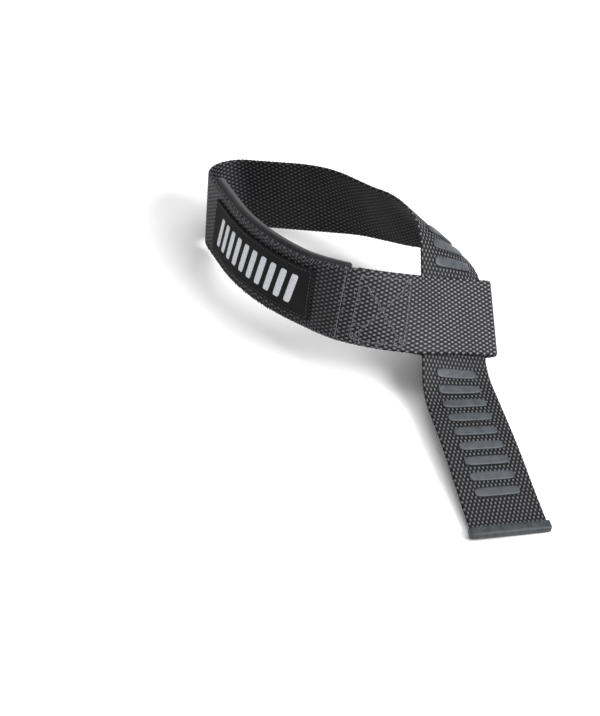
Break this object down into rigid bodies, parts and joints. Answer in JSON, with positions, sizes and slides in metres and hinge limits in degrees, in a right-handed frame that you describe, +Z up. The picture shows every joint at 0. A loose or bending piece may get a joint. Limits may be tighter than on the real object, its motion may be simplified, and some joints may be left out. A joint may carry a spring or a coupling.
{
  "type": "weightlifting strap",
  "caption": "Weightlifting wrist strap: webbing led through its own sewn end loop into a wrist loop, with an inner pad, a label patch and a gripped tail.",
  "frame": {"origin": "on the resting surface, below the middle of the object's box", "axes": "+Z up from the surface it lies on, -Y towards the viewer of the picture, so the tail's tip points to -Y"},
  "size_m": [0.1812, 0.2244, 0.0634],
  "materials": {
    "webbing": "coarse charcoal webbing",
    "pad": "fabric-faced foam",
    "label": "matt woven patch",
    "cap": "dipped, slightly glossy",
    "grip": "satin silicone"
  },
  "bodies": {
    "root": {"webbing_strap": "webbing", "wrist_pad": "pad", "label_patch": "label", "tip_cap": "cap", "grip_bar_01": "grip", "grip_bar_02": "grip", "grip_bar_03": "grip", "grip_bar_04": "grip", "grip_bar_05": "grip", "grip_bar_06": "grip", "grip_bar_07": "grip", "grip_bar_08": "grip", "grip_bar_09": "grip", "grip_bar_10": "grip", "grip_bar_11": "grip", "grip_bar_12": "grip"}
  },
  "joints": []
}
